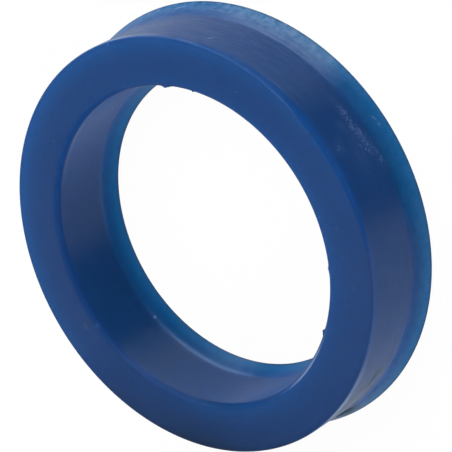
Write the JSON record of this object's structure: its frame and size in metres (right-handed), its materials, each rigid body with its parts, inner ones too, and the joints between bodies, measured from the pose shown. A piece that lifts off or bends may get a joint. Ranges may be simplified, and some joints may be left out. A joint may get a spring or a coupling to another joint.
{
  "type": "lip seal ring",
  "caption": "Soft polyurethane ring seal with a flat heel and a U-shaped section, whose flared lips seal against a rod inside and a housing wall outside.",
  "frame": {"origin": "on the ring's axis, at the height of the lip ends that it rests on", "axes": "+Z along the ring's axis, from the lip ends to the heel face; X and Y across the ring"},
  "size_m": [0.082, 0.082, 0.0166],
  "materials": {
    "blue_polyurethane": "satin, slightly translucent at the lips"
  },
  "bodies": {
    "root": {"seal_ring": "blue_polyurethane"}
  },
  "joints": []
}
